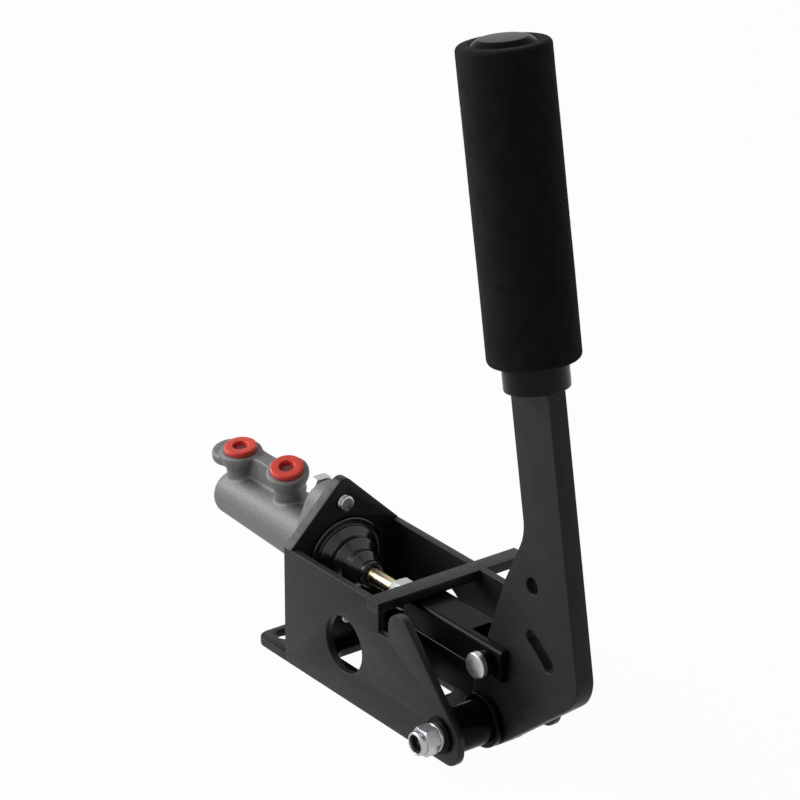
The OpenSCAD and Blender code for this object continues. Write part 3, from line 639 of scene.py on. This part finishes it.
# %% [markdown]
# A pressed plastic cap shuts the end of the tube. Its plug goes inside, and its rim has the
# tube's own width, so one turned profile makes both.

# %% end cap
CAP_PLUG_L, CAP_PLUG_R, CAP_RIM, CAP_H, CAP_TOP_R = 14, 13.4, 2.4, 5, 11.25
cap_profile = rounded([(-CAP_PLUG_L, 0, 0), (-CAP_PLUG_L, CAP_PLUG_R, 0.5), (0, CAP_PLUG_R, 0),
                       (0, TUBE_R, 0.3), (CAP_RIM, TUBE_R, 1.2), (CAP_H, CAP_TOP_R, 3), (CAP_H, 0, 0)],
                      steps=6, closed=False)
cap = revolve("cap", tube_foot + TUBE_L * handle_axis, handle_axis, cap_profile)
dress(cap, GLOSS, "lever", "end_cap")
print("cap stands", CAP_H, "mm above the tube")

# %% [markdown]
# ## The master cylinder
# A sand casting has no sharp inside corners. Barrel, port bosses, bridge, pad and flange are
# made as separate closed shells here. A profile lists distance along the axis, radius and
# rounding.

# %% shells of the casting
BARREL = [(-93, 0, 0), (-93, 11.4, 5), (-15, 14, 0), (-FLANGE_T, 17, 0), (0, 14, 0), (0, 0, 0)]
BARREL_COUNT = 128
PORTS = {
    "front": (np.array([-83.8, 3.9, AXIS_Z]), 25.7, math.radians(8), math.radians(3)),
    "rear": (np.array([-46.1, 7.0, AXIS_Z]), 32.2, math.radians(15), math.radians(11)),
}
NECK_R, NECK_END, COLLAR_END, COLLAR_R, RIM_R = 8.2, 9, 4, 10.5, 10.8
BRIDGE_UP, BRIDGE_NEAR, BRIDGE_FAR, CAST_EDGE = 24.5, 0.5, 10.5, 1.0
PAD_BACK, PAD_DOWN, PAD_R, PAD_T = 8.0, 8.0, 10.4, 5
LUG_UP, LUG_ROUND, FLANGE_OUT, FLANGE_HALF, FLANGE_STEPS = 56, 13, 24, 21, 24


def port_axis(tilt, lean):
    """The way a port points: up, tilted to the near side, then leaned towards the lever."""
    return np.array([math.cos(tilt) * math.sin(lean), -math.sin(tilt), math.cos(tilt) * math.cos(lean)])


shells = [revolve("barrel", AXIS_START, ALONG, rounded(BARREL, steps=10, closed=False), BARREL_COUNT)]
for port_foot, port_l, tilt, lean in PORTS.values():
    boss = rounded([(0, 0, 0), (0, NECK_R, 0), (port_l - NECK_END, NECK_R, 4),
                    (port_l - COLLAR_END, COLLAR_R, 1), (port_l, RIM_R, 1.2), (port_l, 0, 0)],
                   steps=6, closed=False)
    shells.append(revolve("boss", port_foot, port_axis(tilt, lean), boss))
bridge_x = [port[0][0] for port in PORTS.values()]
bridge = [(bridge_x[0], AXIS_Z), (bridge_x[1], AXIS_Z), (bridge_x[1], AXIS_Z + BRIDGE_UP),
          (bridge_x[0], AXIS_Z + BRIDGE_UP)]
shells.append(plate("bridge", "side", bridge, [], BRIDGE_NEAR, BRIDGE_FAR, CAST_EDGE))
port_foot, port_l, tilt, lean = PORTS["front"]
pad_foot = port_foot - PAD_BACK * np.array([math.cos(lean), 0.0, -math.sin(lean)])
pad_foot = pad_foot + (port_l - PAD_DOWN) * port_axis(tilt, lean)
pad = rounded([(0, 0, 0), (0, PAD_R, 1), (PAD_T, PAD_R, 1.2), (PAD_T, 0, 0)], steps=6, closed=False)
shells.append(revolve("pad", pad_foot, port_axis(tilt, lean), pad))
flange = rounded([(0, AXIS_Z + LUG_UP, LUG_ROUND), (FLANGE_OUT, AXIS_Z, FLANGE_HALF),
                  (0, AXIS_Z - LUG_UP, LUG_ROUND), (-FLANGE_OUT, AXIS_Z, FLANGE_HALF)], FLANGE_STEPS)
shells.append(plate("flange", "end", flange, [], -FLANGE_T, 0, CAST_EDGE))
print("shells of the casting:", len(shells))

# %% [markdown]
# The shells are joined, rebuilt as one skin on a fine voxel grid and smoothed a little. That
# melts their joints into the fillets of a real casting, which would be hard to model one by
# one.

# %% one casting
VOXEL = 0.7
casting = shells[0]
with bpy.context.temp_override(active_object=casting, object=casting, selected_objects=shells,
                               selected_editable_objects=shells):
    bpy.ops.object.join()
casting.name = "casting"
remesh = casting.modifiers.new("skin", "REMESH")
remesh.mode = "VOXEL"
remesh.voxel_size = VOXEL * MM
remesh.use_smooth_shade = True
soften = casting.modifiers.new("soften", "SMOOTH")
soften.factor = 0.5
soften.iterations = 6
dress(casting, CAST, "bracket", "cylinder_body")
print("casting before its skin:", len(casting.data.polygons), "faces")

# %% [markdown]
# Red transport plugs close both ports. Each is a flat ring with a socket in the middle, and a thin dark red
# disc on the floor of the socket is painted shade for the socket's hollow.

# %% port plugs
PLUG = [(-9, 0, 0), (-9, 4.9, 0.4), (0, 4.9, 0), (0, 8.3, 0.3), (2.5, 8.3, 0.8), (2.5, 3.9, 0.5),
        (0.5, 3.5, 0.3), (0.5, 0, 0)]
SHADE_DISC = [(0.4, 0.0), (0.4, 3.3), (0.8, 3.3), (0.8, 0.0)]
PLUG_COUNT, SHADE_DISC_COUNT = 72, 48
for side, (port_foot, port_l, tilt, lean) in PORTS.items():
    axis = port_axis(tilt, lean)
    rim = port_foot + port_l * axis
    plug = revolve(side + "_plug", rim, axis, rounded(PLUG, steps=5, closed=False), PLUG_COUNT)
    dress(plug, RED, "bracket", side + "_port_plug")
    # a thin dark red disc in the socket: painted shade, not a part of the plug
    socket = revolve(side + "_plug_socket_shade", rim, axis, SHADE_DISC, SHADE_DISC_COUNT)
    dress(socket, SOCKET_SHADE_RED, "bracket")
    print(side, "plug at", np.round(rim, 1), "mm")

# %% [markdown]
# ## Rod, boot and clevis
# The rubber boot has a rim in the hole of the end plate and steps down to a lip that wipes
# the rod. It is a closed profile, outside and inside, turned round the cylinder's axis.

# %% boot
BOOT_OUTER = [(0, 21.7, 0.3), (7.2, 21.7, 0.9), (7.2, 19.6, 0.6), (6.4, 18, 0.6), (8.4, 18, 1.5),
              (11, 14, 1.2), (14.5, 14, 1.5), (17.5, 10, 1.2), (21, 9.5, 1.5), (24.5, 6.6, 1), (28, 6.6, 0.8)]
BOOT_INNER = [(28, 4.4, 0.3), (24, 4.4, 0), (20, 7.9, 0), (16, 8.4, 0), (13, 12.4, 0), (10, 12.4, 0),
              (7, 16.4, 0), (0, 16.4, 0)]
boot = revolve("boot", AXIS_START, ALONG, looped(BOOT_OUTER + BOOT_INNER, steps=6))
dress(boot, RUBBER, "bracket", "dust_boot")
print("boot:", len(boot.data.polygons), "faces")

# %% [markdown]
# The rod is plated yellow, and its rear half carries the thread for the lock nut and clevis.
# A thread is a turned bar whose radius also depends on the angle: it falls and rises once in
# each pitch, and the pattern climbs as it goes round.

# %% rod
PITCH, PER_TURN, THREAD_COUNT = 1.25, 10, 48
THREAD_DEPTH, THREAD_SHARE, THREAD_ANGLE = 0.6, 0.9, 60
ROD_LEAD = [(-11.0, 0.0), (-11.0, BOLT_R), (46.0, BOLT_R)]
ROD_TAIL = [(80.0, 3.5), (80.0, 0.0)]
ROD_THREAD = (46.0, 79.5)


def threaded(name, origin, lead, thread, tail):
    """Plain (distance, radius) points, a thread that fades out in its last turn, and plain points again."""
    start, stop = thread
    s = np.arange(start, stop, PITCH / PER_TURN)
    phase = (s[:, None] / PITCH - np.linspace(0, 1, THREAD_COUNT, endpoint=False)) % 1.0
    fade = np.clip((stop - s) / PITCH, 0, 1)[:, None]
    cut = BOLT_R - THREAD_DEPTH * fade * (1 - np.abs(2 * phase - 1)) * THREAD_SHARE
    before = np.array(lead)
    after = np.array(tail)
    along = np.concatenate([before[:, 0], s, after[:, 0]])
    plain = [np.repeat(points[:, 1:], THREAD_COUNT, 1) for points in (before, after)]
    radius = np.vstack([plain[0], cut, plain[1]])
    return skin(name, swept(origin, ALONG, along, radius, THREAD_COUNT), THREAD_ANGLE)


rod = threaded("rod", AXIS_START, ROD_LEAD, ROD_THREAD, ROD_TAIL)
dress(rod, YELLOW, "rod", "push_rod")
print("rod:", len(rod.data.polygons), "faces")

# %% [markdown]
# A nut is turned too. At each angle the radius is that of a hexagon, cut back by a cone near
# both faces, which gives the curved corners that every real nut has.

# %% lock nut
FLATS, HEX_COUNT, HEX_ANGLE = 13.0, 144, 25
CONE_L, CONE_ROWS, CONE_SHARE = 1.0, 8, 0.97
CONE_RISE = math.tan(math.radians(62))
LOCK_NUT_X, LOCK_NUT_L = 49.5, 6.5


def hexagon(name, origin, axis, length, hole=BOLT_HOLE_R):
    """A nut: half the flats over the cosine of the angle from the flat, never wider than the end cones."""
    sixth = np.pi / 3
    hex_r = FLATS / 2 / np.cos((angles(HEX_COUNT) + sixth / 2) % sixth - sixth / 2)
    start = np.linspace(0.0, CONE_L, CONE_ROWS)
    stop = length - np.linspace(CONE_L, 0.0, CONE_ROWS)
    s = np.concatenate([[0.0], start, stop, [length]])
    cone = FLATS / 2 * CONE_SHARE + np.minimum(s, length - s) * CONE_RISE
    r = np.minimum(hex_r[None, :], cone[:, None])
    r[[0, -1]] = hole
    grid = swept(origin, axis, np.append(s, s[0]), np.vstack([r, r[:1]]), HEX_COUNT)
    return skin(name, grid, HEX_ANGLE)


nut = hexagon("lock_nut_piece", (LOCK_NUT_X, 0, AXIS_Z), ALONG, LOCK_NUT_L)
dress(nut, ZINC, "rod", "lock_nut")
print("lock nut:", len(nut.data.polygons), "faces")

# %% [markdown]
# The clevis keeps the solid's own shape, because its slot and long pin holes set the motion.
# A copy of that mesh is merged, its flat triangles are dissolved, and a bevel rounds the
# edges that catch the light.

# %% clevis
FLAT_ANGLE, FORK_ANGLE = 0.5, 30
fork_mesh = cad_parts["clevis"].data.copy()
fork_mesh.name = "fork"
fork_bm = bmesh.new()
fork_bm.from_mesh(fork_mesh)
bmesh.ops.remove_doubles(fork_bm, verts=fork_bm.verts, dist=MERGE)
bmesh.ops.dissolve_limit(fork_bm, angle_limit=math.radians(FLAT_ANGLE), verts=fork_bm.verts,
                         edges=fork_bm.edges)
fork_bm.to_mesh(fork_mesh)
fork_bm.free()
fork = placed("fork", fork_mesh, FORK_ANGLE)
bevel = fork.modifiers.new("edges", "BEVEL")
bevel.width = 0.5 * MM
bevel.segments = 3
bevel.limit_method = "ANGLE"
bevel.angle_limit = math.radians(35)
bevel.harden_normals = True
dress(fork, BLACK, "rod", "clevis")
print("clevis:", len(fork_mesh.polygons), "faces before its bevel")

# %% [markdown]
# ## Pins, bolts and spacers
# All small round pieces are turned profiles. The locking nut ends in a smooth collar around its plastic ring,
# open at the end, and the bolt shows through it. The ring is a real part of such a nut, and its black is
# painted shade for the nut's hollow end.

# %% pivot bolt and nut
NUT_Y, NUT_L = -36.4, 7.0
COLLAR = [(6.9, 4.5, 0), (6.9, 5.9, 0), (10.2, 5.9, 1.2), (10.2, 4.5, 0.3)]
NYLON_SHADE_Y, NYLON_SHADE_L, NYLON_SHADE_R, NYLON_SHADE_HOLE_R, NYLON_SHADE_EDGE = -43.4, 1.6, 4.5, 3.6, 0.2
SHANK = [(-11.4, 0, 0), (-11.4, BOLT_R, 0.8), (67, BOLT_R, 0), (67, 0, 0)]
SHANK_COUNT = 64
HEAD_Y, HEAD_L, NO_HOLE = 34, 5.3, 0.05
BORE_EDGE = 0.1


def pivot_at(y):
    """The point of the pivot's axis at a given distance across the bracket."""
    return (PIVOT[0], y, PIVOT[1])


def tube_ring(name, origin, axis, length, outer, hole, edge):
    """A washer or spacer: a rectangle with rounded corners turned round an axis."""
    corners = [(0, hole, BORE_EDGE), (0, outer, edge), (length, outer, edge), (length, hole, BORE_EDGE)]
    return revolve(name, origin, axis, looped(corners, steps=6))


pivot_nut = hexagon("pivot_nut_piece", pivot_at(NUT_Y), LEFT, NUT_L)
dress(pivot_nut, ZINC, "bracket", "pivot_nut")
collar = revolve("collar", pivot_at(NUT_Y), LEFT, looped(COLLAR, steps=8))
dress(collar, ZINC, "bracket")
# the plastic ring inside the collar, black as painted shade for the nut's hollow end
nylon_and_shade = tube_ring("nylon_ring_and_painted_shade", pivot_at(NYLON_SHADE_Y), LEFT, NYLON_SHADE_L, NYLON_SHADE_R, NYLON_SHADE_HOLE_R, NYLON_SHADE_EDGE)
dress(nylon_and_shade, BLACK, "bracket")
shank = revolve("pivot_shank", pivot_at(-HALF_W), RIGHT, rounded(SHANK, steps=4, closed=False), SHANK_COUNT)
dress(shank, ZINC, "bracket", "pivot_bolt")
head = hexagon("pivot_head", pivot_at(HEAD_Y), RIGHT, HEAD_L, NO_HOLE)
dress(head, ZINC, "bracket")
print("pivot bolt from", NUT_Y - COLLAR[-1][0], "to", HEAD_Y + HEAD_L, "mm across")

# %% [markdown]
# Washers, spacer tubes and thrust rings fill the width between the side plates and hold the
# lever in the middle. They differ only in size, so a table and a loop make them. Each row
# has a name, where it starts, its length, radius and edge, its finish and what it stands for.

# %% washers, spacers and thrust rings
RINGS = [
    ("near_washer", -34, 2.0, 9.0, 0.4, BLACK, ["pivot_washers"]),
    ("far_washer", 32, 2.0, 9.0, 0.4, BLACK, []),
    ("lock_washer", NUT_Y, 2.4, 7.0, 0.4, ZINC, []),
    ("near_tube", -28, 18.7, 11.0, 1.0, BLACK, ["near_spacer"]),
    ("far_tube", 9.3, 18.7, 11.0, 1.0, BLACK, ["far_spacer"]),
    ("near_ring", -9.3, 4.0, 13.3, 0.8, BLACK, ["thrust_washers"]),
    ("far_ring", 5.3, 4.0, 13.3, 0.8, BLACK, []),
]
for name, start, length, outer, edge, mat, stands_for in RINGS:
    ring = tube_ring(name, pivot_at(start), RIGHT, length, outer, BOLT_HOLE_R, edge)
    dress(ring, mat, "bracket", *stands_for)
print("rings on the pivot:", len(RINGS))

# %% [markdown]
# The clevis pin has a round domed head on the near side, with a black collar under it. Both
# ride on the lever, because the pin is a tight fit there and loose in the clevis.

# %% clevis pin
PIN_TURNED = [(0, 0, 0), (0, 6.5, 1.0), (3.5, 6.5, 0.3), (3.5, BOLT_R, 0), (33.3, BOLT_R, 0.6), (33.3, 0, 0)]
PIN_Y, PIN_COUNT = -18.3, 72
PIN_TUBE_Y, PIN_TUBE_L, PIN_TUBE_R, PIN_TUBE_EDGE = -14.8, 4.5, 6.0, 0.5
pin_profile = rounded(PIN_TURNED, steps=6, closed=False)
pin = revolve("pin_piece", (PIN[0], PIN_Y, PIN[1]), RIGHT, pin_profile, PIN_COUNT)
dress(pin, ZINC, "lever", "clevis_pin")
pin_tube = tube_ring("pin_tube", (PIN[0], PIN_TUBE_Y, PIN[1]), RIGHT, PIN_TUBE_L, PIN_TUBE_R, BOLT_HOLE_R,
                     PIN_TUBE_EDGE)
dress(pin_tube, BLACK, "lever", "pin_collar")
print("clevis pin:", len(pin.data.polygons), "faces")

# %% [markdown]
# Two bolts hold the flange to the end plate. Their heads are hexagons at the cylinder's side,
# and the threaded tips show on the inside of the trough.

# %% flange bolts
SCREW_LEAD = [(-FLANGE_T, 0.0)]
SCREW_THREAD = (-FLANGE_T, 8.0)
SCREW_TAIL = [(8.5, 3.3), (8.5, 3.0), (8.5, 0.0)]
for index, height in enumerate((AXIS_Z + FLANGE_BOLT, AXIS_Z - FLANGE_BOLT)):
    screw = threaded("flange_screw_" + str(index), (0, 0, height), SCREW_LEAD, SCREW_THREAD, SCREW_TAIL)
    screw_head = hexagon("flange_head_" + str(index), (-FLANGE_T, 0, height), (-1, 0, 0), HEAD_L, NO_HOLE)
    dress(screw, ZINC, "bracket", *(["flange_bolts"] if index == 0 else []))
    dress(screw_head, ZINC, "bracket")
    print("flange bolt at height", height, "mm")

# %% [markdown]
# The return spring sits in the bore, where nobody sees it; in use it shortens when the rod comes in. Here it
# is a tube along a helix at the full length of its solid, starting at the closed end of the bore.

# %% return spring
BORE_END, ROD_TRAVEL = -80.0, 16.0
COIL_R, WIRE_R, COIL_TURNS = 5.34, 0.9, 9
COIL_STEPS, WIRE_SIDES, COIL_ANGLE = 24, 12, 60


def coil(name, start, length):
    """A tube along a helix: the wire climbs evenly as it turns; each ring is in a plane through the axis."""
    climb = np.linspace(0, 1, COIL_TURNS * COIL_STEPS + 1)[:, None]
    phi = angles(WIRE_SIDES)[None, :]
    angle = 2 * np.pi * COIL_TURNS * climb
    out = COIL_R + WIRE_R * np.cos(phi)
    along = start + WIRE_R + (length - 2 * WIRE_R) * climb + WIRE_R * np.sin(phi)
    grid = np.stack([along, out * np.cos(angle), AXIS_Z + out * np.sin(angle)], -1)
    tips = np.repeat(grid[[0, -1]].mean(1, keepdims=True), WIRE_SIDES, 1)
    return skin(name, np.concatenate([tips[:1], grid, tips[1:]]), COIL_ANGLE)


spring_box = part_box("return_spring")
spring_l = (spring_box[1][0] - spring_box[0][0]) / MM
spring = coil("spring", BORE_END, spring_l)
dress(spring, SPRING, "bracket", "return_spring")
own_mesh(spring)
print("spring length", round(spring_l, 1), "mm")

# %% [markdown]
# The rest is hidden or tiny, and its solids are right as they are. They only change colour.

# %% carried-over solids
KEPT = {"piston": BRONZE, "primary_seal": RUBBER, "secondary_seal": RUBBER, "retaining_washer": ZINC,
        "circlip": BLACK, "pin_washer": ZINC, "pin_clip": BLACK, "pivot_sleeve": BRONZE}
for node, mat in KEPT.items():
    wear(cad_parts[node], mat)
print("kept solids:", len(KEPT))

# %% [markdown]
# ## Studio
# The background is plain white. A white floor under strong light would light the object from
# below, so the floor only looks white: Light Path tells rays that look at it, straight or in
# a reflection, from rays that carry light. A small share of shading is left in, which keeps a
# faint shadow under the bracket. The world does the same.

# %% floor and world
FLOOR_HALF, FLOOR_Z = 6, -0.0005
FLOOR_GREY, FLOOR_ROUGH, WHITE_SHARE = 0.6, 0.9, 0.97
FILL_LIGHT = 0.07


def shown_white(nodes, links):
    """One for rays that look at the background, in a mirror or through glass too, and zero for others."""
    path = add(nodes, "ShaderNodeLightPath")
    socket = path.outputs["Is Camera Ray"]
    for kind in ("Is Glossy Ray", "Is Transmission Ray"):
        either = add(nodes, "ShaderNodeMath", operation="MAXIMUM")
        links.new(socket, either.inputs[0])
        links.new(path.outputs[kind], either.inputs[1])
        socket = either.outputs[0]
    return socket


floor_corners = [(x * FLOOR_HALF, y * FLOOR_HALF, FLOOR_Z) for x, y in ((-1, -1), (1, -1), (1, 1), (-1, 1))]
floor = make("floor", floor_corners, [(0, 1, 2, 3)])
pale = bpy.data.materials.new("pale_floor")
pale.use_nodes = True
nodes, links = pale.node_tree.nodes, pale.node_tree.links
matt = nodes["Principled BSDF"]
matt.inputs["Base Color"].default_value = (FLOOR_GREY, FLOOR_GREY, FLOOR_GREY, 1)
matt.inputs["Roughness"].default_value = FLOOR_ROUGH
white = add(nodes, "ShaderNodeEmission", Strength=1.0)
mostly = add(nodes, "ShaderNodeMath", operation="MULTIPLY")
mostly.inputs[1].default_value = WHITE_SHARE
links.new(shown_white(nodes, links), mostly.inputs[0])
mix = add(nodes, "ShaderNodeMixShader")
links.new(mostly.outputs[0], mix.inputs["Fac"])
links.new(matt.outputs["BSDF"], mix.inputs[1])
links.new(white.outputs["Emission"], mix.inputs[2])
links.new(mix.outputs["Shader"], nodes["Material Output"].inputs["Surface"])
wear(floor, pale)

world = bpy.data.worlds.new("studio")
world.use_nodes = True
bpy.context.scene.world = world
nodes, links = world.node_tree.nodes, world.node_tree.links
sky = nodes["Background"]
sky.inputs["Color"].default_value = (1, 1, 1, 1)
level = add(nodes, "ShaderNodeMapRange")
level.inputs["To Min"].default_value = FILL_LIGHT
level.inputs["To Max"].default_value = 1.0
links.new(shown_white(nodes, links), level.inputs["Value"])
links.new(level.outputs["Result"], sky.inputs["Strength"])
print("floor", 2 * FLOOR_HALF, "m wide, world fill", FILL_LIGHT)

# %% [markdown]
# Three soft panels light the object. The near one fills the side plate, the strong left one
# comes from beyond the cylinder and models the edges, and a small one above puts glints on
# the boot and the rod.

# %% lights
def panel(name, place, target, size, power, colour=(1, 1, 1)):
    """A soft square lamp at a place, turned to face a target: its size in metres, its power in watts."""
    lamp = bpy.data.lights.new(name, "AREA")
    lamp.size = size
    lamp.color = colour
    lamp.energy = power
    obj = bpy.data.objects.new(name, lamp)
    bpy.context.scene.collection.objects.link(obj)
    obj.matrix_world = facing(place, Vector(target) - Vector(place))


panel("near_panel", (-0.7, -1.8, 0.35), (0.05, 0, 0.1), size=0.9, power=6)
panel("left_panel", (-1.35, -0.8, 1.05), (0.0, 0, 0.1), size=0.9, power=26, colour=(0.9, 0.96, 1.0))
panel("top_panel", (-0.42, -1.05, 1.31), (0.0, 0, 0.05), size=0.3, power=2.5)
print("lamps:", len(bpy.data.lights))
